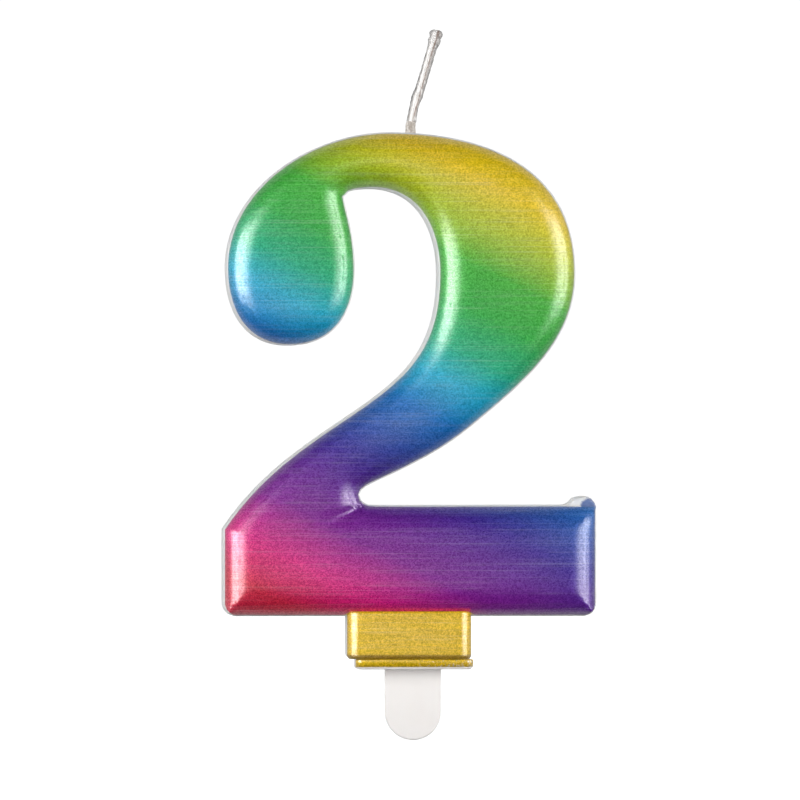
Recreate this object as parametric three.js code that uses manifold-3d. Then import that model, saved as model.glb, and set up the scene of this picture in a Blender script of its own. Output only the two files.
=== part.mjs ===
// A number birthday candle: a moulded wax numeral 2 on a foot, skinned in front with metallic foil,
// with a waxed cotton wick and a plastic pick that holds it in a cake.
//
// Millimetres, +Z up. The front of the numeral faces -Y and +X is to the reader's right. The origin is
// the middle of the underside of the pick's flange, where the top of the cake meets the candle.

import * as THREE from "three";
import { mergeVertices } from "three/addons/utils/BufferGeometryUtils.js";
import Module from "manifold-3d";

const wasm = await Module();
wasm.setup();

// ---- Driving dimensions ----

// Numeral, in its own frame: x from the middle of its base bar, z from the underside of the base bar.
const NUMERAL_WIDTH = 46.6;
const NUMERAL_HEIGHT = 60.4;
const BASE_BAR_HEIGHT = 13.9;
const CORNER_RADIUS = 1.7; // lower corners of the base bar, seen from the front
const EAR_RISE = 1.1; // the upturned ear of bare wax at the right-hand end of the base bar
const EAR_WIDTH = 3.8;
const EAR_FRONT = 0.7; // how far its rounded front stands forward of the parting plane
const NUMERAL_X = -0.5; // the numeral sits a little to the left of the pick
const NUMERAL_Z = 6.6;

// Depths, from the pick's mid-plane. The front face is a dome that starts at the parting plane.
const BACK_Y = 4.5;
const PARTING_Y = -2.7;
const BACK_EDGE_RADIUS = 0.8;
const DOME_RISE = 3.0; // height of the dome over the parting plane
const DOME_WIDTH = 4.2; // distance from the edge at which a dome would become flat
const DOME_RUN = 2.75; // the slope is drawn this far in, which the thinnest stroke allows
const DOME_STEPS = 6;

// Foot under the base bar.
const FOOT_WIDTH = 15.3;
const FOOT_FRONT_Y = -4.5;
const FOOT_X = -0.65;
const FOOT_BOTTOM_Z = 1.4;
const FOOT_TOP_Z = 9.5; // buried in the base bar
const FOOT_CORNER_RADIUS = 1.0;
const FOOT_BACK_CORNER_RADIUS = 0.8;

// Foil. The real film is hundredths of a millimetre; it is drawn thicker, with a gap under it.
const FOIL_THICKNESS = 0.1;
const FOIL_GAP = 0.04;
const WAX_LEDGE = 0.3; // bare wax between the numeral's outline and the foot of its dome
const FOOT_FOIL_WRAP = 1.3; // how far the gold foil reaches back round the foot's sides

// Pick: one plastic moulding with a blade for the cake, a flange and a tang for the foot.
const BLADE_WIDTH = 7.0;
const BLADE_THICKNESS = 1.6;
const BLADE_LENGTH = 8.9; // below the flange, to the tip of its round end
const FLANGE_WIDTH = 14.4;
const FLANGE_DEPTH = 8.4;
const FLANGE_THICKNESS = 1.3;
const FLANGE_CORNER_RADIUS = 1.0;
const TANG_WIDTH = 6.0;
const TANG_THICKNESS = 1.4;
const TANG_HEIGHT = 9.0; // above the flange
const TANG_CLEARANCE = 0.15;

// Wick.
const WICK_RADIUS = 0.7;
const WICK_Y = -0.6; // middle of the numeral's thickness
const CHANNEL_CLEARANCE = 0.2;
const ROOT_PIVOT = [-0.3, 67.8]; // x and z of the bend just above the wax
const KINK_PIVOT = [0.65, 71.6]; // x and z of the kink half way up
const WICK_TIP = [2.9, 79.9];
const BEND_GAP = 0.1; // between a rounded wick end and the length below it
const TIP_RADIUS = 0.88;

// Sampling.
const OUTLINE_STEP = 1.25; // along the numeral's outline
const FACETS = 12; // round the wick

// ---- Materials ----

const wax = new THREE.MeshStandardMaterial({ color: 0xdcdad6, roughness: 0.45, metalness: 0 });
const rainbow = new THREE.MeshStandardMaterial({ color: 0x3f6fc0, roughness: 0.3, metalness: 0.9 });
const gold = new THREE.MeshStandardMaterial({ color: 0xd8b238, roughness: 0.3, metalness: 0.9 });
const plastic = new THREE.MeshStandardMaterial({ color: 0xf0ecea, roughness: 0.4, metalness: 0 });
const cotton = new THREE.MeshStandardMaterial({ color: 0xcfcbc8, roughness: 0.6, metalness: 0 });
const silver = new THREE.MeshStandardMaterial({ color: 0xb9b4b0, roughness: 0.25, metalness: 0.8 });

// ---- Solids: closed geometries joined and cut ----

function solidOf(geometry) {
  const bare = geometry.index ? geometry.toNonIndexed() : geometry.clone();
  bare.deleteAttribute("normal");
  bare.deleteAttribute("uv");
  const merged = mergeVertices(bare, 1e-4);
  return new wasm.Manifold(
    new wasm.Mesh({
      numProp: 3,
      vertProperties: merged.attributes.position.array,
      triVerts: new Uint32Array(merged.index.array),
    }),
  );
}

function meshOf(name, solid, material) {
  const made = solid.getMesh();
  const geometry = new THREE.BufferGeometry();
  geometry.setAttribute("position", new THREE.BufferAttribute(made.vertProperties, 3));
  geometry.setIndex(new THREE.BufferAttribute(made.triVerts, 1));
  const mesh = new THREE.Mesh(geometry, material);
  mesh.name = name;
  return mesh;
}

// ---- Outlines, drawn from the front as x and z ----

// The numeral, clockwise from the top of its arc. The lower corners are square here.
function numeralOutline(withEar) {
  const right = NUMERAL_WIDTH / 2;
  const left = -right;
  const top = NUMERAL_HEIGHT;
  const bar = BASE_BAR_HEIGHT;
  const s = new THREE.Shape();
  s.moveTo(-2.6, top);
  // Outside of the bowl, down the diagonal and into the notch over the base bar.
  s.bezierCurveTo(9.5, top, 20.7, 56.1, 20.7, 42.8);
  s.bezierCurveTo(20.7, 34.2, 13.9, 28.9, 7.2, 23.4);
  s.bezierCurveTo(3.5, 20.4, -0.9, 18.4, -4.6, 16.7);
  s.bezierCurveTo(-5.6, 16.2, -6.3, 15.8, -6.3, 15.2);
  s.bezierCurveTo(-6.3, 14.4, -5.6, bar, -4.4, bar);
  if (withEar) drawEar(s);
  else s.lineTo(right, bar);
  s.lineTo(right, 0);
  s.lineTo(left, 0);
  s.lineTo(left, 10.9);
  // Up the other side of the diagonal and round the inside of the bowl.
  s.bezierCurveTo(-19.5, 16.5, -15.4, 19.7, -10.0, 23.4);
  s.bezierCurveTo(-1.5, 29.1, 3.6, 32.2, 3.6, 42.8);
  s.bezierCurveTo(3.6, 48.1, 1.3, 53.4, -4.8, 53.4);
  // The notch between the arc and the ball, then round the ball.
  s.bezierCurveTo(-6.8, 53.4, -8.3, 53.0, -8.3, 52.3);
  s.bezierCurveTo(-8.3, 51.4, -6.9, 48.0, -6.9, 43.3);
  s.bezierCurveTo(-6.9, 37.6, -9.7, 33.8, -15.1, 33.8);
  s.bezierCurveTo(-20.3, 33.8, -22.9, 37.9, -22.9, 43.5);
  s.bezierCurveTo(-22.9, 53.4, -12.3, top, -2.6, top);
  return evenlySampled(s);
}

// The front of the ear alone: half an ellipse standing on the foil's upper edge.
function earOutline() {
  const s = new THREE.Shape();
  const half = EAR_WIDTH / 2 - 0.2;
  s.absellipse(NUMERAL_WIDTH / 2 - half, BASE_BAR_HEIGHT - 0.1, half, EAR_RISE + 0.1, 0, Math.PI);
  s.closePath();
  return evenlySampled(s);
}

// The ear's top, from the base bar's upper edge to its right-hand side.
function drawEar(s) {
  const right = NUMERAL_WIDTH / 2;
  const left = right - EAR_WIDTH;
  const bar = BASE_BAR_HEIGHT;
  const top = bar + EAR_RISE;
  s.lineTo(left, bar);
  s.bezierCurveTo(left + 0.8, bar + 0.2, left + 0.9, top, left + 2.3, top);
  s.bezierCurveTo(right - 0.6, top, right - 0.1, bar + 0.2, right, bar - 0.2);
}

// The same outline as a polygon, with its points an even distance apart along each curve.
function evenlySampled(shape) {
  const points = [];
  for (const curve of shape.curves) {
    const straight = curve instanceof THREE.LineCurve;
    const parts = straight ? 1 : Math.max(4, Math.round(curve.getLength() / OUTLINE_STEP));
    points.push(...curve.getSpacedPoints(parts).slice(1));
  }
  return new THREE.Shape(points);
}

// A box seen from above, with its own radius on the front and the back corners.
function roundedBox(width, front, back, frontRadius, backRadius) {
  const x = width / 2;
  const s = new THREE.Shape();
  s.moveTo(-x + frontRadius, front);
  s.lineTo(x - frontRadius, front);
  s.absarc(x - frontRadius, front + frontRadius, frontRadius, -Math.PI / 2, 0);
  s.lineTo(x, back - backRadius);
  s.absarc(x - backRadius, back - backRadius, backRadius, 0, Math.PI / 2);
  s.lineTo(-x + backRadius, back);
  s.absarc(-x + backRadius, back - backRadius, backRadius, Math.PI / 2, Math.PI);
  s.lineTo(-x, front + frontRadius);
  s.absarc(-x + frontRadius, front + frontRadius, frontRadius, Math.PI, 1.5 * Math.PI);
  return s;
}

// ---- Extrusions ----

// An outline drawn from the front, extruded from the plane y = back forwards to y = front.
// The outline is first taken in by inset.
function frontSlab(shape, back, front, inset = 0) {
  const geometry = new THREE.ExtrudeGeometry(shape, {
    depth: back - front,
    bevelEnabled: true,
    bevelSegments: 0,
    bevelThickness: 0,
    bevelSize: 0,
    bevelOffset: -inset,
  });
  return solidOf(geometry.rotateX(Math.PI / 2).translate(0, back, 0));
}

// The same with both its faces' edges rounded.
function roundedSlab(shape, back, front, radius) {
  const geometry = new THREE.ExtrudeGeometry(shape, {
    depth: back - front - 2 * radius,
    bevelSegments: 3,
    bevelThickness: radius,
    bevelSize: radius,
    bevelOffset: -radius,
  });
  return solidOf(geometry.rotateX(Math.PI / 2).translate(0, back - radius, 0));
}

// A slab whose front is a dome: it rises from the parting plane as the quarter of an ellipse,
// from the outline taken in by inset. Its back lies 2 mm behind the parting plane.
function domedSlab(shape, inset, rise) {
  const behind = 1;
  const geometry = new THREE.ExtrudeGeometry(shape, {
    depth: behind,
    bevelSegments: DOME_STEPS,
    bevelThickness: 1,
    bevelSize: DOME_RUN,
    bevelOffset: -DOME_RUN - inset,
  });
  const at = geometry.getAttribute("position");
  for (let i = 0; i < at.count; i++) {
    const height = Math.min(1, at.getZ(i) - behind); // 0 at the edge, 1 where the slope ends
    if (height <= 0) continue;
    const comeIn = DOME_RUN * (1 - Math.sqrt(1 - height * height));
    at.setZ(i, behind + rise * Math.sqrt(1 - (1 - comeIn / DOME_WIDTH) ** 2));
  }
  return solidOf(geometry.rotateX(Math.PI / 2).translate(0, PARTING_Y + behind, 0));
}

function uprightPrism(shape, low, high) {
  const geometry = new THREE.ExtrudeGeometry(shape, {
    depth: high - low,
    bevelEnabled: false,
    curveSegments: 5,
  });
  return solidOf(geometry.translate(0, 0, low));
}

// What to cut from a slab taken in by inset, so that the base bar's lower corners are round.
function cornerCutters(inset) {
  const r = CORNER_RADIUS;
  const cut = r - inset;
  const beyond = r + 1;
  return [-1, 1].map((side) => {
    const x = side * (NUMERAL_WIDTH / 2 - r);
    const s = new THREE.Shape();
    if (side < 0) {
      s.absarc(x, r, cut, 1.5 * Math.PI, Math.PI, true);
      s.lineTo(x - beyond, r);
      s.lineTo(x - beyond, r - beyond);
    } else {
      s.absarc(x, r, cut, 1.5 * Math.PI, 2 * Math.PI);
      s.lineTo(x + beyond, r);
      s.lineTo(x + beyond, r - beyond);
    }
    s.lineTo(x, r - beyond);
    return frontSlab(s, BACK_Y + 5, -10);
  });
}

// The numeral's dome, grown outwards by grow all over.
function numeralDome(grow) {
  const inset = WAX_LEDGE - grow;
  let made = domedSlab(numeralOutline(false), inset, DOME_RISE + grow);
  for (const cutter of cornerCutters(inset)) made = made.subtract(cutter);
  return made;
}

// ---- Wick shapes ----

function wickRoute() {
  // Down through the middle of the stroke, from over the arc to the base bar, as x and z.
  const points = [
    [-0.3, 67.6],
    [-0.2, 66.0],
    [1.2, 63.4],
    [5.5, 60.6],
    [9.6, 56.2],
    [11.4, 50.6],
    [10.4, 44.4],
    [6.4, 38.4],
    [0.2, 32.8],
    [-6.6, 28.0],
    [-11.8, 23.2],
    [-13.6, 18.0],
    [-12.0, 13.6],
  ];
  return new THREE.CatmullRomCurve3(points.map(([x, z]) => new THREE.Vector3(x, WICK_Y, z)));
}

function tubeAlong(curve, radius, steps) {
  const section = new THREE.Shape();
  section.absarc(0, 0, radius, 0, 2 * Math.PI);
  const geometry = new THREE.ExtrudeGeometry(section, {
    extrudePath: curve,
    steps,
    curveSegments: FACETS / 2,
    bevelEnabled: false,
  });
  return solidOf(geometry);
}

// A turned length of wick: round at its lower end, which is centred on its pivot, with the given
// radius and height pairs above that.
function turnedWick(name, radius, upper, material) {
  const profile = [];
  const quarter = 4;
  for (let i = 0; i <= quarter; i++) {
    const a = ((i / quarter - 1) * Math.PI) / 2;
    profile.push(new THREE.Vector2(i === 0 ? 0 : radius * Math.cos(a), radius * Math.sin(a)));
  }
  for (const [r, z] of upper) profile.push(new THREE.Vector2(r, z));
  const geometry = new THREE.LatheGeometry(profile, FACETS).rotateX(Math.PI / 2);
  return meshOf(name, solidOf(geometry), material);
}

// Stands a turned length at one pivot, leaning towards the next point.
function leanFrom(mesh, from, to) {
  mesh.position.set(from[0], WICK_Y, from[1]);
  mesh.rotation.y = Math.atan2(to[0] - from[0], to[1] - from[1]);
  return mesh;
}

// ---- Sub-parts ----

function footPrism(grow, low, high) {
  const shape = roundedBox(
    FOOT_WIDTH + 2 * grow,
    FOOT_FRONT_Y - grow,
    BACK_Y + grow,
    FOOT_CORNER_RADIUS + grow,
    FOOT_BACK_CORNER_RADIUS + grow,
  );
  return uprightPrism(shape, low, high).translate([FOOT_X, 0, 0]);
}

function block(width, depth, low, high) {
  return solidOf(new THREE.BoxGeometry(width, depth, high - low).translate(0, 0, (low + high) / 2));
}

function waxBody() {
  const outline = numeralOutline(true);
  let numeral = roundedSlab(outline, BACK_Y, PARTING_Y - 5, BACK_EDGE_RADIUS);
  numeral = numeral.subtract(frontSlab(rectangle(80, 80), PARTING_Y, PARTING_Y - 10));
  for (const cutter of cornerCutters(0)) numeral = numeral.subtract(cutter);
  const ear = roundedSlab(earOutline(), BACK_Y - 1, PARTING_Y - EAR_FRONT, 0.4);
  numeral = numeral.add(numeralDome(0)).add(ear).translate([NUMERAL_X, 0, NUMERAL_Z]);
  const c = TANG_CLEARANCE;
  const slotTop = FLANGE_THICKNESS + TANG_HEIGHT + 0.5;
  const slot = block(TANG_WIDTH + 2 * c, TANG_THICKNESS + 2 * c, 0, slotTop);
  const channel = tubeAlong(wickRoute(), WICK_RADIUS + CHANNEL_CLEARANCE, 60);
  const body = numeral.add(footPrism(0, FOOT_BOTTOM_Z, FOOT_TOP_Z));
  return meshOf("wax_body", body.subtract(slot).subtract(channel), wax);
}

function rectangle(width, height) {
  const s = new THREE.Shape();
  s.moveTo(-width, -height);
  s.lineTo(width, -height);
  s.lineTo(width, height);
  s.lineTo(-width, height);
  return s;
}

function rainbowFoil() {
  const behind = frontSlab(rectangle(80, 80), PARTING_Y + 10, PARTING_Y - FOIL_GAP);
  const shell = numeralDome(FOIL_GAP + FOIL_THICKNESS).subtract(numeralDome(FOIL_GAP)).subtract(behind);
  const placed = shell.translate([NUMERAL_X, 0, NUMERAL_Z]);
  return meshOf("rainbow_foil", placed.subtract(footPrism(FOIL_GAP, 0, FOOT_TOP_Z)), rainbow);
}

function footFoil() {
  const outer = footPrism(FOIL_GAP + FOIL_THICKNESS, FOOT_BOTTOM_Z, FOOT_TOP_Z);
  const inner = footPrism(FOIL_GAP, 0, FOOT_TOP_Z + 1);
  const behind = block(40, 20, 0, 20).translate([0, FOOT_FRONT_Y + FOOT_FOIL_WRAP + 10, 0]);
  const numeral = numeralDome(2 * FOIL_GAP + FOIL_THICKNESS).translate([NUMERAL_X, 0, NUMERAL_Z]);
  return meshOf("foot_foil", outer.subtract(inner).subtract(behind).subtract(numeral), gold);
}

function pick() {
  const blade = new THREE.Shape();
  const half = BLADE_WIDTH / 2;
  blade.moveTo(half, 0.2);
  blade.lineTo(-half, 0.2);
  blade.lineTo(-half, -BLADE_LENGTH + half);
  blade.absarc(0, -BLADE_LENGTH + half, half, Math.PI, 2 * Math.PI);
  const bladeSolid = frontSlab(blade, BLADE_THICKNESS / 2, -BLADE_THICKNESS / 2);
  const d = FLANGE_DEPTH / 2;
  const r = FLANGE_CORNER_RADIUS;
  const flange = uprightPrism(roundedBox(FLANGE_WIDTH, -d, d, r, r), 0, FLANGE_THICKNESS);
  const tang = block(TANG_WIDTH, TANG_THICKNESS, FLANGE_THICKNESS - 0.2, FLANGE_THICKNESS + TANG_HEIGHT);
  return meshOf("pick", bladeSolid.add(flange).add(tang), plastic);
}

// The film on the front edge of the flange.
function flangeFoil() {
  const d = FLANGE_DEPTH / 2;
  const r = FLANGE_CORNER_RADIUS;
  const skin = (grow, low, high) =>
    uprightPrism(
      roundedBox(FLANGE_WIDTH + 2 * grow, -d - grow, d + grow, r + grow, r + grow),
      low,
      high,
    );
  const outer = skin(FOIL_GAP + FOIL_THICKNESS, 0.1, FLANGE_THICKNESS);
  const behind = block(40, 20, -1, 20).translate([0, FOOT_FOIL_WRAP - d + 10, 0]);
  return meshOf("flange_foil", outer.subtract(skin(FOIL_GAP, -1, 3)).subtract(behind), gold);
}

function wickCore() {
  const top = ROOT_PIVOT[1] - WICK_RADIUS - BEND_GAP;
  const above = block(10, 10, top, top + 10);
  return meshOf("wick_core", tubeAlong(wickRoute(), WICK_RADIUS, 60).subtract(above), cotton);
}

function wickLower() {
  const r = WICK_RADIUS - 0.05;
  const length = Math.hypot(KINK_PIVOT[0] - ROOT_PIVOT[0], KINK_PIVOT[1] - ROOT_PIVOT[1]);
  const top = length - WICK_RADIUS - BEND_GAP;
  const made = turnedWick("wick_lower", r, [[r, top], [0, top]], silver);
  return leanFrom(made, ROOT_PIVOT, KINK_PIVOT);
}

function wickUpper() {
  const r = WICK_RADIUS;
  const length = Math.hypot(WICK_TIP[0] - KINK_PIVOT[0], WICK_TIP[1] - KINK_PIVOT[1]);
  const upper = [
    [r, length - 1.6],
    [r * 0.9, length - 1.1],
    [TIP_RADIUS, length - 0.6],
    [TIP_RADIUS * 0.9, length - 0.15],
    [0, length],
  ];
  return leanFrom(turnedWick("wick_upper", r, upper, silver), KINK_PIVOT, WICK_TIP);
}

const candle = new THREE.Group();
candle.add(waxBody(), rainbowFoil(), footFoil(), wickCore(), wickLower(), wickUpper());
candle.add(pick(), flangeFoil());
export default candle;
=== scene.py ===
"""A number birthday candle: a wax numeral 2 with a rainbow foil front, a gold foot, a wick and a pick.

Metres, in the CAD frame: +Z up, the numeral faces -Y. Sizes are given in millimetres and scaled by MM.
"""

import math

import bmesh
import bpy
from mathutils import Matrix, Vector, noise
from mathutils.bvhtree import BVHTree


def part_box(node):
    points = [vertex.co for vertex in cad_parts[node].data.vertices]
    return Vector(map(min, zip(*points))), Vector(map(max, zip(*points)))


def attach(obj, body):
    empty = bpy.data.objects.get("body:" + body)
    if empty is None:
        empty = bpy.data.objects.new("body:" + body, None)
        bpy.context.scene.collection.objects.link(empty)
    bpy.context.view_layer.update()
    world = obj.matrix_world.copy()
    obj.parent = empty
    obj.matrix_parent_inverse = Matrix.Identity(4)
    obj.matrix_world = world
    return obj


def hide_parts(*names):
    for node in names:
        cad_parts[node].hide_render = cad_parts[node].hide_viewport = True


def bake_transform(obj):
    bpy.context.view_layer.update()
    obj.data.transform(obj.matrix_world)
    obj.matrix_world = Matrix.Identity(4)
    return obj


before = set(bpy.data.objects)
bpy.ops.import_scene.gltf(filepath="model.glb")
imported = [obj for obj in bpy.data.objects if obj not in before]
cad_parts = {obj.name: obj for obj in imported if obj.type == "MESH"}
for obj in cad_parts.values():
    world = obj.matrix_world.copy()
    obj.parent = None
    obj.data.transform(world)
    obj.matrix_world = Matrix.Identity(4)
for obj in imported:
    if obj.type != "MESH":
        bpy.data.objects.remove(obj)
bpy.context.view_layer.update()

MM = 0.001

# ---- What the frame says ----

FOIL = [c / MM for c in (*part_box("rainbow_foil")[0], *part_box("rainbow_foil")[1])]
WAX = [c / MM for c in (*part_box("wax_body")[0], *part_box("wax_body")[1])]
FOOT = [c / MM for c in (*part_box("foot_foil")[0], *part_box("foot_foil")[1])]
PICK = [c / MM for c in (*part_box("pick")[0], *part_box("pick")[1])]
LIP = [c / MM for c in (*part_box("flange_foil")[0], *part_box("flange_foil")[1])]

SKIN = 0.14  # the CAD foils stand this far proud of the wax
PARTING_Y = FOIL[4] + 0.04
FRONT_Y = FOIL[1]
BACK_Y = WAX[4]
UNDERSIDE_Z = FOIL[2] - 0.16  # of the numeral's base bar

# ---- Shapes ----

DOME_WIDTH = 5.2  # distance from the foil's edge at which its dome has become flat
DOME_RINGS = (0.04, 0.1, 0.2, 0.34, 0.5, 0.68, 0.86, 1.04, 1.22, 1.4)
FOIL_GRID = 0.3
LEDGE_RINGS = (0.05, 0.15, 0.3, 0.55, 0.9, 1.3)
BACK_RINGS = (0.05, 0.15, 0.3, 0.5, 0.75, 1.0)
BACK_RADIUS = 1.1
LOOP_STEPS = 5
FILM = 0.05  # thickness the rainbow foil is drawn with
GOLD_FILM = 0.06
FILM_TO_WAX = 0.12  # from the foil's dome down to the wax under it
WAX_SINK = 0.5  # how much deeper the wax lies under the middle of the dome

NOTCH = (-6.75, 20.35)  # the inner corner where the diagonal meets the base bar
NOTCH_CREASE = math.radians(27)  # how far below level the crease runs
CREASE_LENGTH = 12.0
CREASE_START = 1.0

EAR_X = WAX[3] - 4.2
EAR_Z = 20.36

FOOT_SIDES = [FOOT[0] + 0.1, FOOT[3] - 0.1]
FOOT_TUCK = 0.55  # how far the foot's top runs up in front of the numeral's lower edge
FOOT_FRONT_RADIUS = 1.65
FOOT_BACK_RADIUS = 0.8
FOOT_LOW_RADIUS = 0.5
FOOT_HIGH_RADIUS = 0.3

FLANGE_CORNER_RADIUS = 1.0
FLANGE_LOW_RADIUS = 0.3
FLANGE_HIGH_RADIUS = 0.2
FLANGE_FOIL_LOW_Z = 0.32
BLADE_HALF = 3.5
BLADE_DEEP = 0.8  # half its thickness
BLADE_EDGE_RADIUS = 0.28
PICK_TANG = (3.0, 0.7)  # half its width and half its thickness
TANG_CLEARANCE = 0.15

WICK_Y = -0.6
WICK_LINES = ((68.4, -0.22, 0.23), (72.1, 0.75, 0.287))  # z, x there, and x gained for each mm of z

CORNER_ANGLE = math.radians(26)  # a loop that turns more than this at a point has a real corner


def section(node, y, foot_sides=()):
    """The outer edge of the numeral where the plane at that y cuts a CAD node, without the foot's
    part. A skin is open at the foot, so it is parted there from its own inner edge."""
    bm = bmesh.new()
    bm.from_mesh(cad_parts[node].data)
    bmesh.ops.remove_doubles(bm, verts=bm.verts, dist=0.002 * MM)
    bmesh.ops.bisect_plane(
        bm,
        geom=[*bm.verts, *bm.edges, *bm.faces],
        dist=1e-7,
        plane_co=(0, y * MM, 0),
        plane_no=(0, 1, 0),
        clear_inner=True,
        clear_outer=True,
    )
    low = (UNDERSIDE_Z - 0.05) * MM
    bmesh.ops.delete(bm, geom=[v for v in bm.verts if v.co.z < low], context="VERTS")
    parted = [e for e in bm.edges if all(beside_foot(v.co, foot_sides) for v in e.verts)]
    bmesh.ops.delete(bm, geom=parted, context="EDGES")
    bmesh.ops.dissolve_limit(bm, angle_limit=math.radians(0.2), verts=bm.verts, edges=bm.edges)
    points = [v.co.copy() for v in max(chains(bm), key=reach)]
    bm.free()
    return points


def beside_foot(place, sides):
    low = place.z < (UNDERSIDE_Z + 0.6) * MM
    return low and any(abs(place.x / MM - x) < 0.1 for x in sides)


def chains(bm):
    """The wire's loops and open chains, each as its vertices in order."""
    left = set(bm.verts)
    made = []
    while left:
        ends = [v for v in left if len(v.link_edges) < 2]
        here = min(ends or left, key=lambda v: v.co.x)
        chain = []
        while here:
            left.discard(here)
            chain.append(here)
            ways = [e.other_vert(here) for e in here.link_edges]
            here = next((v for v in ways if v in left), None)
        made.append(chain)
    return made


def reach(chain):
    xs = [v.co.x for v in chain]
    zs = [v.co.z for v in chain]
    return max(xs) - min(xs) + max(zs) - min(zs)


def flowing(points, steps=LOOP_STEPS):
    """A closed curve through the points, smooth but for its real corners."""
    curve = bpy.data.curves.new("edge", "CURVE")
    curve.dimensions = "3D"
    curve.resolution_u = steps
    spline = curve.splines.new("BEZIER")
    spline.use_cyclic_u = True
    spline.bezier_points.add(len(points) - 1)
    for i, p in enumerate(points):
        before = p - points[i - 1]
        after = points[(i + 1) % len(points)] - p
        sharp = before.angle(after) > CORNER_ANGLE
        at = spline.bezier_points[i]
        at.co = p
        at.handle_left_type = at.handle_right_type = "VECTOR" if sharp else "AUTO"
    holder = bpy.data.objects.new("edge", curve)
    bpy.context.collection.objects.link(holder)
    mesh = bpy.data.meshes.new_from_object(holder.evaluated_get(bpy.context.evaluated_depsgraph_get()))
    bpy.data.objects.remove(holder)
    bpy.data.curves.remove(curve)
    bm = bmesh.new()
    bm.from_mesh(mesh)
    bpy.data.meshes.remove(mesh)
    bmesh.ops.remove_doubles(bm, verts=bm.verts, dist=0.02 * MM)
    for i in (0, 2):
        low, high = min(p[i] for p in points), max(p[i] for p in points)
        for v in bm.verts:
            v.co[i] = min(high, max(low, v.co[i]))
    return bm


def wall_tree(points, corner_sites=()):
    """A thin upright wall along a loop, to measure distances from. Round corners near the given
    sites are made sharp first."""
    bm = flowing(points)
    for site in corner_sites:
        near = [v for v in bm.verts if (v.co - site).length < 2.2 * MM]
        bmesh.ops.pointmerge(bm, verts=near, merge_co=site)
    edges = bm.edges[:]
    raised = bmesh.ops.extrude_edge_only(bm, edges=edges)["geom"]
    bmesh.ops.translate(bm, verts=[g for g in raised if isinstance(g, bmesh.types.BMVert)], vec=(0, MM, 0))
    bmesh.ops.translate(bm, verts=bm.verts, vec=(0, -0.5 * MM, 0))
    bmesh.ops.triangulate(bm, faces=bm.faces)
    tree = BVHTree.FromBMesh(bm)
    bm.free()
    return tree


def ringed_sheet(loop, rings, grid):
    """A flat face inside a loop, with rings of faces along its edge and a grid across its middle."""
    bm = loop.copy()
    bmesh.ops.contextual_create(bm, geom=bm.edges)
    middle = max(bm.faces, key=lambda f: len(f.verts))
    if middle.normal.y > 0:
        middle.normal_flip()
    done = 0
    for ring in rings:
        bmesh.ops.inset_region(
            bm, faces=[middle], thickness=(ring - done) * MM, use_even_offset=True, use_boundary=True
        )
        done = ring
        middle = max(bm.faces, key=lambda f: len(f.verts))
        close = 0.5 * max(0.2, 0.8 * ring - 0.2)
        bmesh.ops.remove_doubles(bm, verts=middle.verts[:], dist=min(0.2, close) * MM)
        middle = max(bm.faces, key=lambda f: len(f.verts))
    if grid:
        cut_grid(bm, middle, grid)
    return bm


def cut_grid(bm, middle, grid):
    lo = [min(v.co[i] for v in middle.verts) for i in (0, 2)]
    hi = [max(v.co[i] for v in middle.verts) for i in (0, 2)]
    patch = {middle}
    for axis, low, high in ((0, lo[0], hi[0]), (2, lo[1], hi[1])):
        normal = Vector((0, 0, 0))
        normal[axis] = 1
        count = max(1, round((high - low) / (grid * MM)))
        for i in range(1, count):
            at = Vector((0, 0, 0))
            at[axis] = low + (high - low) * i / count
            crossed = [f for f in patch if spans(f, axis, at[axis])]
            geom = {g for f in crossed for g in (f, *f.verts, *f.edges)}
            made = bmesh.ops.bisect_plane(bm, geom=list(geom), dist=2e-6, plane_co=at, plane_no=normal)
            patch.update(g for g in made["geom"] if isinstance(g, bmesh.types.BMFace))
            patch = {f for f in patch if f.is_valid}


def spans(face, axis, at):
    values = [v.co[axis] for v in face.verts]
    return min(values) < at < max(values)


def dome_height(distance):
    """Height of the dome at a distance from its edge, from 0 to 1."""
    u = min(1, distance / DOME_WIDTH)
    return math.sqrt(1 - (1 - u) ** 2.6)


def finished(name, bm, finish, body, stands_for=()):
    """Turns a bmesh into a shown piece that rides on a CAD body."""
    mesh = bpy.data.meshes.new(name)
    bm.to_mesh(mesh)
    bm.free()
    mesh.shade_smooth()
    mesh.materials.append(finish)
    piece = bpy.data.objects.new(name, mesh)
    bpy.context.collection.objects.link(piece)
    if body:
        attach(piece, body)
    if stands_for:
        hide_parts(*stands_for)
    return piece


# ---- Materials ----


class Value:
    """An output of a node. Sums written on it add Math nodes."""

    def __init__(self, finish, socket):
        self.finish = finish
        self.socket = socket

    def maths(self, operation, *inputs):
        return self.finish.node("Math", {"operation": operation}, dict(enumerate(inputs)))

    def __add__(self, other):
        return self.maths("ADD", self, other)

    def __sub__(self, other):
        return self.maths("SUBTRACT", self, other)

    def __rsub__(self, other):
        return self.maths("SUBTRACT", other, self)

    def __mul__(self, other):
        return self.maths("MULTIPLY", self, other)

    def __truediv__(self, other):
        return self.maths("DIVIDE", self, other)

    def __rtruediv__(self, other):
        return self.maths("DIVIDE", other, self)

    def __pow__(self, other):
        return self.maths("POWER", self, other)

    __radd__ = __add__
    __rmul__ = __mul__

    def over(self, low, high):
        """0 below low, 1 above high, and a soft step between."""
        return self.finish.node(
            "MapRange",
            {"interpolation_type": "SMOOTHSTEP"},
            {"Value": self, "From Min": low, "From Max": high},
        )

    def most(self, other):
        """The larger of this and another value."""
        return self.maths("MAXIMUM", self, other)


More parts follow.
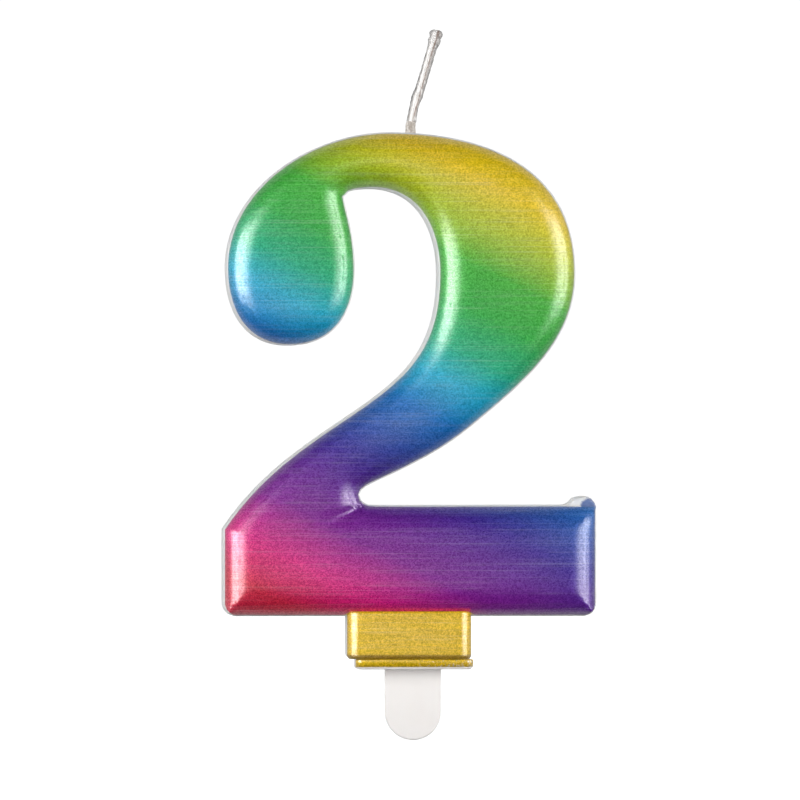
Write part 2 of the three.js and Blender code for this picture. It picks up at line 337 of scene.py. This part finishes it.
class Finish:
    """A material under construction, with its one Principled shader."""

    def __init__(self, name, **constants):
        self.material = bpy.data.materials.new(name)
        self.material.use_nodes = True
        self.tree = self.material.node_tree
        self.shader = self.tree.nodes["Principled BSDF"]
        for key, value in constants.items():
            self.shader.inputs[key.replace("_", " ")].default_value = value
        place = self.node("TexCoord", out="Object")
        self.mm = self.node("VectorMath", {"operation": "SCALE"}, {0: place, "Scale": 1 / MM})
        self.x, self.y, self.z = (self.node("SeparateXYZ", {}, {0: self.mm}, out=i) for i in range(3))

    def node(self, kind, settings=None, sockets=None, out=0):
        made = self.tree.nodes.new("ShaderNode" + kind)
        for key, value in (settings or {}).items():
            if key == "stops":
                self.set_stops(made.color_ramp, value)
            else:
                setattr(made, key, value)
        for key, value in (sockets or {}).items():
            self.feed(made.inputs[key], value)
        return Value(self, made.outputs[out])

    def feed(self, socket, value):
        if isinstance(value, Value):
            self.tree.links.new(value.socket, socket)
        else:
            socket.default_value = value

    def set_stops(self, ramp, stops):
        while len(ramp.elements) > 1:
            ramp.elements.remove(ramp.elements[-1])
        ramp.elements[0].position, ramp.elements[0].color = stops[0]
        for position, colour in stops[1:]:
            ramp.elements.new(position).color = colour

    def stretched(self, x, y, z):
        """The place in millimetres, times the given factors."""
        return self.node("VectorMath", {"operation": "MULTIPLY"}, {0: self.mm, 1: (x, y, z)})

    def noise(self, scales, detail=2.0, roughness=0.5):
        """Noise, about 0.5, with the given number of lumps to a millimetre along x, y and z."""
        return self.node(
            "TexNoise",
            {"noise_dimensions": "3D"},
            {"Vector": self.stretched(*scales), "Scale": 1.0, "Detail": detail, "Roughness": roughness},
        )

    def mix(self, factor, a, b, kind="MIX"):
        """Colour a where factor is 0, colour b where it is 1."""
        return self.node(
            "Mix",
            {"data_type": "RGBA", "blend_type": kind, "clamp_factor": True},
            {0: factor, 6: a, 7: b},
            out=2,
        )

    def grey(self, value):
        return self.node("CombineColor", {}, {0: value, 1: value, 2: value})

    def put(self, **sockets):
        for key, value in sockets.items():
            self.feed(self.shader.inputs[key.replace("_", " ")], value)

    def bump(self, height, strength, distance):
        """distance is the height in millimetres that a value of 1 stands for."""
        normal = self.node("Bump", {}, {"Height": height, "Strength": strength, "Distance": distance * MM})
        self.feed(self.shader.inputs["Normal"], normal)


def shade(red, green, blue):
    """A colour given as on a paint chart, 0 to 255, as the linear colour that nodes use."""
    linear = []
    for part in (red, green, blue):
        c = part / 255
        linear.append(c / 12.92 if c <= 0.04045 else ((c + 0.055) / 1.055) ** 2.4)
    return (*linear, 1)


# The foil's inks, in millimetres up the slope of the bands from the lower left corner.
RAINBOW = (
    (0, (200, 30, 65)),  # red
    (5, (210, 10, 125)),  # pink
    (11, (130, 20, 145)),  # purple
    (20, (65, 40, 150)),  # violet
    (29, (0, 110, 185)),  # blue
    (34, (0, 165, 195)),  # turquoise
    (38, (10, 170, 125)),  # sea green
    (43, (45, 170, 65)),  # green
    (48, (65, 175, 50)),  # leaf green
    (54, (180, 190, 25)),  # lime
    (58, (220, 190, 0)),  # yellow
)
BAND_TILT = math.radians(27.5)  # the bands run down to the right


def hairlines(finish):
    """Fine pale level scratches of the brushed pattern, from 0 to 1, with bare stretches between."""
    fine = finish.noise((0.07, 0.07, 14.0), detail=0.0)
    gaps = finish.noise((0.3, 0.3, 2.0), detail=1.0)
    return (fine + gaps * 0.3).over(0.76, 0.87)


def brushed(finish):
    """The soft level grain under the hairlines, as a value about 0.5."""
    fine = finish.noise((0.22, 0.22, 4.0), detail=3.0, roughness=0.65)
    broad = finish.noise((0.06, 0.06, 1.6), detail=2.0)
    return fine * 0.65 + broad * 0.35


def flaked(finish, scale=8.0):
    """Tiny bright and dark flakes of the metal layer, as a value from 0 to 1."""
    cells = finish.node(
        "TexVoronoi",
        {"feature": "F1"},
        {"Vector": finish.stretched(scale, scale, scale), "Scale": 1.0, "Randomness": 1.0},
        out="Color",
    )
    return finish.node("SeparateColor", {}, {0: cells})


FOIL_LOOK = {"Metallic": 0.25, "Coat_Roughness": 0.3, "Coat_IOR": 2.0, "Specular_IOR_Level": 0.0}


def foil_surface(f, colour):
    """The metal grain, flakes and hairlines that both foils have, over their own colour."""
    lines, scratches, flakes = brushed(f), hairlines(f), flaked(f)
    light = 1 + (lines - 0.5) * 0.3 + (flakes - 0.5) * 0.6
    grained = f.mix(1.0, colour, f.grey(light), "MULTIPLY")
    pale = f.mix(0.5, colour, shade(235, 235, 240))
    f.put(
        Base_Color=f.mix(scratches * 0.2, grained, pale),
        Roughness=0.55 + lines * 0.1 + flakes * 0.1,
        Coat_Weight=0.45 + flakes * 0.7,
    )
    f.bump(lines * 0.6 + flakes * 0.4, 0.5, 0.01)


def rainbow_finish():
    f = Finish("rainbow_foil_film", **FOIL_LOOK)
    wander = f.noise((0.09, 0.09, 0.09), detail=1.0) - 0.5
    slope = f.x * math.sin(BAND_TILT) + f.z * math.cos(BAND_TILT) + wander * 1.2 + (brushed(f) - 0.5) * 2.0
    low, high = RAINBOW[0][0], RAINBOW[-1][0]
    stops = [((at - low) / (high - low), shade(*rgb)) for at, rgb in RAINBOW]
    bands = f.node("ValToRGB", {"stops": stops}, {0: (slope - low) / (high - low)})
    outside = (FOOT[0] - f.x).most(f.x - FOOT[3])
    height = f.z - UNDERSIDE_Z
    # A real crease in the foil just above the foot, drawn as a painted highlight: a bright pink line along
    # it.
    fold_highlight = (1 - outside.over(-0.4, 0.0)) * (1 - height.over(0.85, 1.2))
    smear = 1 - (height + (outside + 0.35).most(0) * 0.55).over(0.5, 0.7)
    bands_with_fold_highlight = f.mix(fold_highlight * 0.8, bands, shade(236, 62, 110))
    foil_surface(f, f.mix(smear, bands_with_fold_highlight, shade(210, 172, 52)))
    return f.material


def gold_finish():
    f = Finish("gold_foil_film", **FOIL_LOOK)
    gold = f.mix(brushed(f).over(0.3, 0.7), shade(210, 171, 0), shade(226, 190, 8))
    # Painted shade: the gold darkens to brown along the foot's lowest half millimetre, in the gap above the
    # flange.
    gap_shade = f.z.over(WAX[2] - 0.1, WAX[2]) * (1 - f.z.over(WAX[2] + 0.3, WAX[2] + 0.6))
    chips = f.noise((1.8, 1.8, 1.8), detail=4.0, roughness=0.7) + f.x * 0.012 - f.z * 0.12
    bare = chips.over(0.49, 0.62) * (1 - f.z.over(LIP[5] - 0.1, LIP[5]))
    shaded = f.mix(gap_shade * 0.75, gold, shade(132, 100, 40))
    foil_surface(f, f.mix(bare, shaded, shade(218, 212, 202)))
    return f.material


def wax_finish():
    f = Finish(
        "bare_wax",
        Subsurface_Weight=0.35,
        Subsurface_Radius=(1.0, 0.9, 0.8),
        Subsurface_Scale=1.2 * MM,
        IOR=1.44,
        Coat_Weight=0.1,
    )
    cloud = f.noise((0.25, 0.25, 0.25), detail=3.0)
    grain = f.noise((3.0, 3.0, 3.0), detail=2.0)
    colour = f.mix(cloud.over(0.35, 0.7), shade(230, 231, 231), shade(238, 238, 237))
    tint = ear_tint(f, grain)
    f.put(Base_Color=f.mix(tint, colour, shade(38, 88, 160)), Roughness=0.38 + grain * 0.2)
    f.bump(cloud * 0.7 + grain * 0.3, 0.4, 0.06)
    return f.material


def ear_tint(f, grain):
    """A smear of the blue foil's ink on the front of the ear."""
    across = (f.x - (WAX[3] - 1.0)) ** 2 + (f.z - EAR_Z) ** 2
    patch = 1 - (across + (grain - 0.5) * 1.2).over(0.5, 1.4)
    front = 1 - f.y.over(PARTING_Y, PARTING_Y + 0.6)
    return patch * front * 0.85


def plastic_finish():
    f = Finish(
        "milky_plastic",
        Subsurface_Weight=0.15,
        Subsurface_Radius=(1.0, 0.95, 0.9),
        Subsurface_Scale=1.0 * MM,
        IOR=1.49,
    )
    cloud = f.noise((0.3, 0.3, 0.2), detail=2.0)
    grain = f.noise((6.0, 6.0, 6.0), detail=1.0)
    colour = f.mix(cloud.over(0.3, 0.7), shade(251, 246, 243), shade(254, 250, 247))
    f.put(Base_Color=colour, Roughness=0.3 + grain * 0.15)
    f.bump(grain, 0.3, 0.02)
    return f.material


def wick_finish():
    """Waxed cotton with a silvery coat, with painted highlight and shade around the cord: darker at its
    sides, a white highlight down its front left and a dark brown line beside it.
    """
    f = Finish("silvered_wick", Metallic=0.15, Coat_Weight=0.1, Coat_Roughness=0.25)
    lower, upper = ((f.z - z) * gain + x for z, x, gain in WICK_LINES)
    axis = lower.most(upper)
    fleck = f.noise((2.2, 2.2, 1.0), detail=3.0, roughness=0.7)
    turn = f.node("Math", {"operation": "ARCTAN2"}, {0: f.y - WICK_Y, 1: f.x - axis})
    around = turn / math.pi * 0.5 + 0.5 + (fleck - 0.5) * 0.12
    # Painted highlight and shade, by the angle around the cord: dark at the sides, paler at the back, a
    # white highlight at the front left and a brown shade line just right of the front.
    painted_light_stripes = (
        (0.0, shade(120, 120, 120)),
        (0.14, shade(175, 172, 170)),
        (0.17, shade(232, 229, 227)),
        (0.26, shade(232, 229, 227)),
        (0.28, shade(140, 120, 110)),
        (0.34, shade(165, 160, 157)),
        (0.5, shade(130, 130, 130)),
        (0.75, shade(190, 188, 186)),
        (1.0, shade(120, 120, 120)),
    )
    colour = f.node("ValToRGB", {"stops": painted_light_stripes}, {0: around})
    specks = f.mix(fleck.over(0.5, 0.72) * 0.7, colour, shade(240, 238, 236))
    f.put(Base_Color=specks, Roughness=0.42 + fleck * 0.3)
    f.bump(fleck, 0.5, 0.06)
    return f.material


def cotton_finish():
    """Bare cotton soaked in wax, where the wick comes out of the candle."""
    f = Finish(
        "waxed_cotton",
        Subsurface_Weight=0.2,
        Subsurface_Radius=(1.0, 0.9, 0.8),
        Subsurface_Scale=0.4 * MM,
        IOR=1.44,
    )
    strand = f.noise((2.4, 2.4, 1.4), detail=3.0, roughness=0.7)
    colour = f.mix(strand.over(0.38, 0.62), shade(172, 162, 152), shade(228, 221, 214))
    f.put(Base_Color=colour, Roughness=0.4 + strand * 0.2)
    f.bump(strand, 0.5, 0.06)
    return f.material


# ---- The numeral ----

def foil_edge():
    """The foil's rim, and a wall along it whose lower corners are sharp, as its creases are."""
    points = section("rainbow_foil", FOIL[4] - 0.01, FOOT_SIDES)
    sites = [Vector((x * MM, points[0].y, FOIL[2] * MM)) for x in (FOIL[0], FOIL[3])]
    return points, wall_tree(points, sites)


def away_from(tree, place, plane):
    return tree.find_nearest(Vector((place.x, plane, place.z)))[3] / MM


def rainbow_foil(finish, points, tree):
    bm = ringed_sheet(flowing(points), DOME_RINGS, FOIL_GRID)
    heights = {v: dome_height(creased(v.co, away_from(tree, v.co, points[0].y))) for v in bm.verts}
    heights = eased(heights, 3)
    rise = FOIL[4] - FRONT_Y
    for v, h in heights.items():
        v.co.y = (FOIL[4] - rise * h) * MM
    buried = [f for f in bm.faces if all(inside_foot(v.co) for v in f.verts)]
    bmesh.ops.delete(bm, geom=buried, context="FACES")
    bmesh.ops.solidify(bm, geom=bm.faces[:], thickness=FILM * MM)
    return finished("rainbow_foil_skin", bm, finish, "candle", ["rainbow_foil"])


def creased(place, distance):
    """The distance from the edge, less towards the crease that runs down left from the notch."""
    x, z = place.x / MM - NOTCH[0], place.z / MM - NOTCH[1]
    if x > 0 or z > 0:
        return distance
    away = math.hypot(x, z)
    below = math.atan2(-z, -x)
    depth = math.sin(NOTCH_CREASE)
    factor = max(1 - (1 - depth) * below / NOTCH_CREASE, math.sin(below))
    fade = min(1, away / CREASE_START, max(0, 2 - 2 * away / CREASE_LENGTH))
    return min(distance, away * (1 + (factor - 1) * fade))


def inside_foot(place):
    x, y, z = place / MM
    return FOOT[0] + 1.5 < x < FOOT[3] - 1.5 and y > FOOT[1] + 1.5 and z < UNDERSIDE_Z + 0.3


def eased(heights, rounds):
    """The heights with their creases softened, and those of the steep edge left as they are."""
    fixed = {v for v in heights if v.is_boundary or heights[v] < 0.45}
    for _ in range(rounds):
        new = {}
        for v, h in heights.items():
            if v in fixed:
                new[v] = h
                continue
            near = [heights[e.other_vert(v)] for e in v.link_edges]
            new[v] = 0.5 * h + 0.5 * sum(near) / len(near)
        heights = new
    return heights


def candle_wax(finish, foil_points, foil_tree):
    points = section("wax_body", 1.0)
    plane = points[0].y
    edge_tree = wall_tree(points)
    front = ringed_sheet(flowing(points), LEDGE_RINGS, 0.9)
    for v in front.verts:
        v.co.y = wax_front(v.co, edge_tree, foil_tree, plane, foil_points[0].y) * MM
    back = ringed_sheet(flowing(points), BACK_RINGS, 1.2)
    for v in back.verts:
        u = min(1, away_from(edge_tree, v.co, plane) / BACK_RADIUS)
        rise = BACK_RADIUS * math.sqrt(1 - (1 - u) ** 2)
        sink = 0.0 if u < 1 else 0.05 * (1 + noise.noise(v.co * 160))
        v.co.y = (BACK_Y - BACK_RADIUS + rise - sink) * MM
    rim = [e for e in front.edges if e.is_boundary]
    made = bmesh.ops.extrude_edge_only(front, edges=rim)["geom"]
    for v in (g for g in made if isinstance(g, bmesh.types.BMVert)):
        v.co.y = (BACK_Y - BACK_RADIUS) * MM
    holder = bpy.data.meshes.new("back")
    back.to_mesh(holder)
    back.free()
    front.from_mesh(holder)
    bpy.data.meshes.remove(holder)
    bmesh.ops.remove_doubles(front, verts=front.verts, dist=1e-7)
    bmesh.ops.recalc_face_normals(front, faces=front.faces)
    wax = finished("candle_wax", front, finish, "candle", ["wax_body"])
    combine(wax, foot_block(), "UNION")
    half, deep = (size + TANG_CLEARANCE for size in PICK_TANG)
    slot = block((-half, -deep, 0), (half, deep, PICK[5] + 0.5))
    combine(wax, slot, "DIFFERENCE")
    return wax


def wax_front(place, edge_tree, foil_tree, plane, foil_plane):
    """y of the wax's front: a narrow ledge, the dome under the foil, and the rounded ear."""
    x, _, z = place / MM
    from_edge = away_from(edge_tree, place, plane)
    round_off = 0.12 * (1 - dome_height(min(1, from_edge / 0.15) * DOME_WIDTH))
    if x > EAR_X and EAR_Z < z < EAR_Z + 2:
        ramp = min(1, (z - EAR_Z) / 0.6)
        return PARTING_Y + round_off - 0.65 * ramp * math.sqrt(1 - (1 - min(1, from_edge / 1.3)) ** 2)
    if from_edge < 0.17:
        return PARTING_Y + round_off
    rise = FOIL[4] - FRONT_Y
    distance = creased(place, away_from(foil_tree, place, foil_plane))
    return FOIL[4] - rise * dome_height(distance) + FILM_TO_WAX + WAX_SINK * min(1, distance / 2)


def block(low, high):
    """A box between two corners, in millimetres."""
    bm = bmesh.new()
    bmesh.ops.create_cube(bm, size=1)
    size = [(h - l) * MM for l, h in zip(low, high)]
    middle = [(h + l) / 2 * MM for l, h in zip(low, high)]
    bmesh.ops.scale(bm, vec=size, verts=bm.verts)
    bmesh.ops.translate(bm, vec=middle, verts=bm.verts)
    return bm


def rounded(bm, edges, radius, segments):
    bmesh.ops.bevel(
        bm,
        geom=edges,
        affect="EDGES",
        offset=radius * MM,
        segments=segments,
        profile=0.5,
        material=-1,
        clamp_overlap=True,
    )


def upright(edge):
    a, b = (v.co for v in edge.verts)
    return abs(a.z - b.z) > 0.9 * (a - b).length


def level_at(bm, z):
    """The edges that lie level at a height."""
    return [e for e in bm.edges if all(abs(v.co.z - z * MM) < 1e-6 for v in e.verts)]


def rounded_block(low, high, front_radius, back_radius, low_radius, high_radius=0):
    bm = block(low, high)
    for y, radius in ((low[1], front_radius), (high[1], back_radius)):
        corner = [e for e in bm.edges if upright(e) and abs(e.verts[0].co.y - y * MM) < 1e-6]
        rounded(bm, corner, radius, 8)
    rounded(bm, level_at(bm, low[2]), low_radius, 4)
    if high_radius:
        rounded(bm, level_at(bm, high[2]), high_radius, 4)
    return bm


def foot_block(grow=0.0):
    low = (FOOT[0] + SKIN - grow, FOOT[1] + SKIN - grow, WAX[2] - grow)
    high = (FOOT[3] - SKIN + grow, BACK_Y - 0.02, UNDERSIDE_Z + FOOT_TUCK + grow)
    front_radius = FOOT_FRONT_RADIUS + grow
    return rounded_block(low, high, front_radius, FOOT_BACK_RADIUS, FOOT_LOW_RADIUS, FOOT_HIGH_RADIUS)


def combine(piece, other, operation):
    """Joins a closed shape to a piece, or cuts it away."""
    mesh = bpy.data.meshes.new("other")
    other.to_mesh(mesh)
    other.free()
    tool = bpy.data.objects.new("other", mesh)
    bpy.context.collection.objects.link(tool)
    change = piece.modifiers.new("combine", "BOOLEAN")
    change.operation = operation
    change.solver = "EXACT"
    change.object = tool
    bake(piece)
    bpy.data.objects.remove(tool)


def bake(piece):
    """Applies the piece's modifiers to its mesh."""
    made = bpy.data.meshes.new_from_object(piece.evaluated_get(bpy.context.evaluated_depsgraph_get()))
    piece.modifiers.clear()
    piece.data = made


def skin_of(bm, back_y, low_z, high_z, thickness):
    """The front and side faces of a block, as a thin skin between two heights that ends at back_y."""
    ends = (((0, back_y, 0), (0, 1, 0)), ((0, 0, high_z), (0, 0, 1)), ((0, 0, low_z), (0, 0, -1)))
    for place, normal in ends:
        bmesh.ops.bisect_plane(
            bm,
            geom=[*bm.verts, *bm.edges, *bm.faces],
            dist=1e-7,
            plane_co=Vector(place) * MM,
            plane_no=normal,
            clear_outer=True,
        )
    flat = [f for f in bm.faces if abs(f.normal.z) > 0.97]
    bmesh.ops.delete(bm, geom=flat, context="FACES")
    bmesh.ops.solidify(bm, geom=bm.faces[:], thickness=thickness * MM)
    return bm


def foot_foil(finish):
    bm = skin_of(foot_block(SKIN), FOOT[4], FOOT[2] - 1, FOOT[5] + 0.4, GOLD_FILM)
    return finished("foot_foil_skin", bm, finish, "candle", ["foot_foil"])


# ---- The pick ----


def flange_block(grow=0.0):
    low = (PICK[0] - grow, PICK[1] - grow, 0)
    high = (PICK[3] + grow, PICK[4] + grow, LIP[5])
    corner = FLANGE_CORNER_RADIUS
    return rounded_block(low, high, corner, corner, FLANGE_LOW_RADIUS, FLANGE_HIGH_RADIUS)


def flange_foil(finish):
    bm = skin_of(flange_block(SKIN), LIP[4], FLANGE_FOIL_LOW_Z, LIP[5] - 0.02, GOLD_FILM)
    return finished("flange_foil_skin", bm, finish, "pick", ["flange_foil"])


def blade():
    """A flat tongue with a round end."""
    half, deep = BLADE_HALF * MM, BLADE_DEEP * MM
    middle = (PICK[2] + BLADE_HALF) * MM
    bm = bmesh.new()
    start = bmesh.ops.create_vert(bm, co=(half, -deep, middle))["vert"]
    bmesh.ops.spin(
        bm, geom=start, cent=(0, -deep, middle), axis=(0, 1, 0), angle=math.pi, steps=28, use_duplicate=False
    )
    ends = sorted(bm.verts, key=lambda v: v.co.z)[-2:]
    raised = [bmesh.ops.create_vert(bm, co=(v.co.x, v.co.y, 0.6 * MM))["vert"][0] for v in ends]
    for a, b in zip(ends, raised):
        bm.edges.new((a, b))
    bm.edges.new(raised)
    face = bmesh.ops.contextual_create(bm, geom=bm.edges[:])["faces"]
    made = bmesh.ops.extrude_face_region(bm, geom=face)["geom"]
    moved = [g for g in made if isinstance(g, bmesh.types.BMVert)]
    bmesh.ops.translate(bm, verts=moved, vec=(0, 2 * deep, 0))
    bmesh.ops.recalc_face_normals(bm, faces=bm.faces)
    sides = [e for e in bm.edges if abs(e.verts[0].co.y - e.verts[1].co.y) < 1e-7]
    rounded(bm, [e for e in sides if max(v.co.z for v in e.verts) < 0.5 * MM], BLADE_EDGE_RADIUS, 3)
    return bm


def pick(finish):
    piece = finished("pick_plastic", flange_block(), finish, "pick", ["pick"])
    combine(piece, blade(), "UNION")
    half, deep = PICK_TANG
    tang = rounded_block((-half, -deep, LIP[5] - 0.4), (half, deep, PICK[5]), 0.3, 0.3, 0.1, 0.2)
    combine(piece, tang, "UNION")
    return piece


# ---- The wick ----

def sleeve(stations, sides, lump):
    """A cord along stations of x, z and radius, made of rings of faces and closed at its ends."""
    bm = bmesh.new()
    ring = None
    for i, (x, z, radius) in enumerate(stations):
        x0, z0, _ = stations[max(0, i - 1)]
        x1, z1, _ = stations[min(len(stations) - 1, i + 1)]
        if ring is None:
            ring = bmesh.ops.create_circle(bm, cap_ends=True, radius=MM, segments=sides)["verts"]
        else:
            edges = {e for v in ring for e in v.link_edges if e.other_vert(v) in set(ring)}
            made = bmesh.ops.extrude_edge_only(bm, edges=list(edges))["geom"]
            ring = [g for g in made if isinstance(g, bmesh.types.BMVert)]
        lean = Matrix.Rotation(math.atan2(x1 - x0, z1 - z0), 3, "Y")
        centre = Vector((x, WICK_Y, z)) * MM
        placed = sorted(ring, key=lambda v: v.index)
        for k in range(sides):
            placed[k].co = centre + lean @ cord_point(k / sides, radius, z, lump)
        bm.verts.index_update()
    edges = [e for e in bm.edges if e.is_boundary]
    bmesh.ops.contextual_create(bm, geom=edges)
    bmesh.ops.recalc_face_normals(bm, faces=bm.faces)
    return bm


def cord_point(turn, radius, z, lump):
    """A point on the cord's round: a little three-lobed, twisting as it rises, and uneven."""
    a = 2 * math.pi * turn
    lobes = 1 + 0.05 * math.cos(3 * a + z * 0.5)
    rough = 1 + lump * noise.noise(Vector((3 * math.cos(a), 3 * math.sin(a), z * 2.2)))
    r = radius * lobes * rough * MM
    return Vector((r * math.cos(a), r * math.sin(a), 0))


def between(stations, step):
    """The stations with more set between them, a step apart."""
    full = []
    for (x0, z0, r0), (x1, z1, r1) in zip(stations, stations[1:]):
        count = max(1, math.ceil((z1 - z0) / step))
        for i in range(count):
            t = i / count
            full.append((x0 + (x1 - x0) * t, z0 + (z1 - z0) * t, r0 + (r1 - r0) * t))
    return [*full, stations[-1]]


STUB = ((-0.31, 66.0, 0.62), (-0.31, 67.0, 0.66), (-0.3, 67.8, 0.62), (-0.2, 68.6, 0.56), (-0.05, 69.5, 0.5))
COAT = (
    (-0.22, 68.35, 0.5),
    (-0.21, 68.4, 0.6),
    (-0.1, 69.0, 0.57),
    (0.1, 70.1, 0.56),
    (0.35, 71.0, 0.6),
    (0.5, 71.5, 0.68),
    (0.62, 71.8, 0.68),
    (0.75, 72.1, 0.61),
    (1.55, 74.8, 0.58),
    (2.3, 77.4, 0.6),
    (2.5, 78.0, 0.65),
    (2.62, 78.4, 0.78),
    (2.7, 78.65, 0.76),
    (2.76, 78.85, 0.66),
    (2.8, 79.0, 0.74),
    (2.86, 79.2, 0.84),
    (2.9, 79.45, 0.83),
    (2.94, 79.7, 0.66),
    (2.96, 79.84, 0.38),
)


def wick(stub_finish, coat_finish):
    stub = finished("wick_stub", sleeve(between(STUB, 0.2), 20, 0.1), stub_finish, None)
    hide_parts("wick_core", "wick_lower")
    bend(stub)
    coat = finished("wick_coat", sleeve(between(COAT, 0.12), 24, 0.12), coat_finish, None)
    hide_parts("wick_upper")
    bend(coat)


def bend(piece):
    """Bakes the cord's placement into its mesh."""
    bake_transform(piece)


# ---- Stage ----


# Name, degrees turned to the right of the front and raised, width and height, radiance, and what it is
# left out of: the gloss boxes only show in the coat, and the fills only light the colours.
LIGHTS = (
    ("left_gloss", -60, 4, 0.7, 0.55, 8.8, "visible_diffuse"),
    ("right_gloss", 63, 4, 0.6, 0.55, 5.8, "visible_diffuse"),
    ("left_fill", -56, 0, 0.5, 0.7, 4.9, "visible_glossy"),
    ("right_fill", 58, 0, 0.5, 0.7, 4.8, "visible_glossy"),
    ("front_fill", 0, 0, 0.5, 0.5, 4.3, "visible_glossy"),
    ("back_fill", 180, 10, 0.6, 0.6, 3.2, "visible_glossy"),
)
LIGHT_AWAY = 0.8
LIGHT_AIM = Vector((0, 0, 0.033))
STAGE_SIZE = 9.0
# How bright the surroundings are from straight in front, 0, to straight behind, 1.
SURROUNDINGS = ((0.0, 0.02), (0.45, 0.02), (0.6, 0.6), (1.0, 0.66))

VIEW_AZIMUTH = math.radians(-3.4)
VIEW_AWAY = 1.4
VIEW_ACROSS = 0.1
VIEW_AIM = Vector((-0.0016, 0, 0.0336))


def softbox(name, turn, rise, width, height, radiance, left_out_of):
    """A rectangular light, aimed at the candle."""
    light = bpy.data.lights.new(name, "AREA")
    light.shape = "RECTANGLE"
    light.size, light.size_y = width, height
    light.energy = radiance * math.pi * width * height
    holder = bpy.data.objects.new(name, light)
    bpy.context.collection.objects.link(holder)
    turn, rise = math.radians(turn), math.radians(rise)
    away = Vector((math.sin(turn) * math.cos(rise), -math.cos(turn) * math.cos(rise), math.sin(rise)))
    holder.location = LIGHT_AIM + away * LIGHT_AWAY
    holder.rotation_euler = away.to_track_quat("Z", "Y").to_euler()
    holder.visible_camera = False
    setattr(holder, left_out_of, False)


def studio():
    bm = bmesh.new()
    bmesh.ops.create_grid(bm, x_segments=2, y_segments=2, size=STAGE_SIZE)
    bmesh.ops.translate(bm, verts=bm.verts, vec=(0, 0, PICK[2] * MM - 0.0002))
    scenery("floor", bm, lit_finish("pale_floor", 0.4, 0.97))
    bm = bmesh.new()
    bmesh.ops.create_icosphere(bm, subdivisions=4, radius=STAGE_SIZE)
    bmesh.ops.reverse_faces(bm, faces=bm.faces)
    scenery("backdrop", bm, lit_finish("white_backdrop", 0.0, 1.05))

    for light in LIGHTS:
        softbox(*light)

    world = bpy.data.worlds.new("studio")
    bpy.context.scene.world = world
    world.use_nodes = True
    nodes, links = world.node_tree.nodes, world.node_tree.links
    place = nodes.new("ShaderNodeTexCoord")
    split = nodes.new("ShaderNodeSeparateXYZ")
    ramp = nodes.new("ShaderNodeValToRGB")
    links.new(place.outputs["Generated"], split.inputs[0])
    half = nodes.new("ShaderNodeMapRange")
    half.inputs["From Min"].default_value = -1
    links.new(split.outputs[1], half.inputs["Value"])
    links.new(half.outputs[0], ramp.inputs[0])
    while len(ramp.color_ramp.elements) > 1:
        ramp.color_ramp.elements.remove(ramp.color_ramp.elements[-1])
    for i, (at, level) in enumerate(SURROUNDINGS):
        stop = ramp.color_ramp.elements[0] if i == 0 else ramp.color_ramp.elements.new(at)
        stop.position = at
        stop.color = (level, level, level, 1)
    links.new(ramp.outputs[0], nodes["Background"].inputs["Color"])
    nodes["Background"].inputs["Strength"].default_value = 1.0
    bpy.context.scene.view_settings.view_transform = "Standard"


def scenery(name, bm, finish):
    """Floor and backdrop: seen by the camera, and left out of the foil's reflections."""
    mesh = bpy.data.meshes.new(name)
    bm.to_mesh(mesh)
    bm.free()
    mesh.materials.append(finish)
    piece = bpy.data.objects.new(name, mesh)
    bpy.context.collection.objects.link(piece)
    piece.visible_glossy = False
    piece.visible_diffuse = False


def lit_finish(name, pale, glow):
    f = Finish(name, Roughness=0.9, Specular_IOR_Level=0.0, Emission_Strength=glow)
    f.put(Base_Color=(pale, pale, pale, 1), Emission_Color=(1, 1, 1, 1))
    return f.material


def camera():
    data = bpy.data.cameras.new("camera")
    holder = bpy.data.objects.new("camera", data)
    bpy.context.collection.objects.link(holder)
    data.sensor_width = 36
    data.lens = data.sensor_width * VIEW_AWAY / VIEW_ACROSS
    data.clip_end = 20
    back = Vector((math.sin(VIEW_AZIMUTH), -math.cos(VIEW_AZIMUTH), 0))
    holder.location = VIEW_AIM + back * VIEW_AWAY
    holder.rotation_euler = (-back).to_track_quat("-Z", "Y").to_euler()
    bpy.context.scene.camera = holder


# ---- Making ----

camera()
studio()
wax = wax_finish()
rainbow = rainbow_finish()
gold = gold_finish()
plastic = plastic_finish()
silver = wick_finish()
cotton = cotton_finish()

rim_points, rim_tree = foil_edge()
rainbow_foil(rainbow, rim_points, rim_tree)
candle_wax(wax, rim_points, rim_tree)
foot_foil(gold)
pick(plastic)
flange_foil(gold)
wick(cotton, silver)
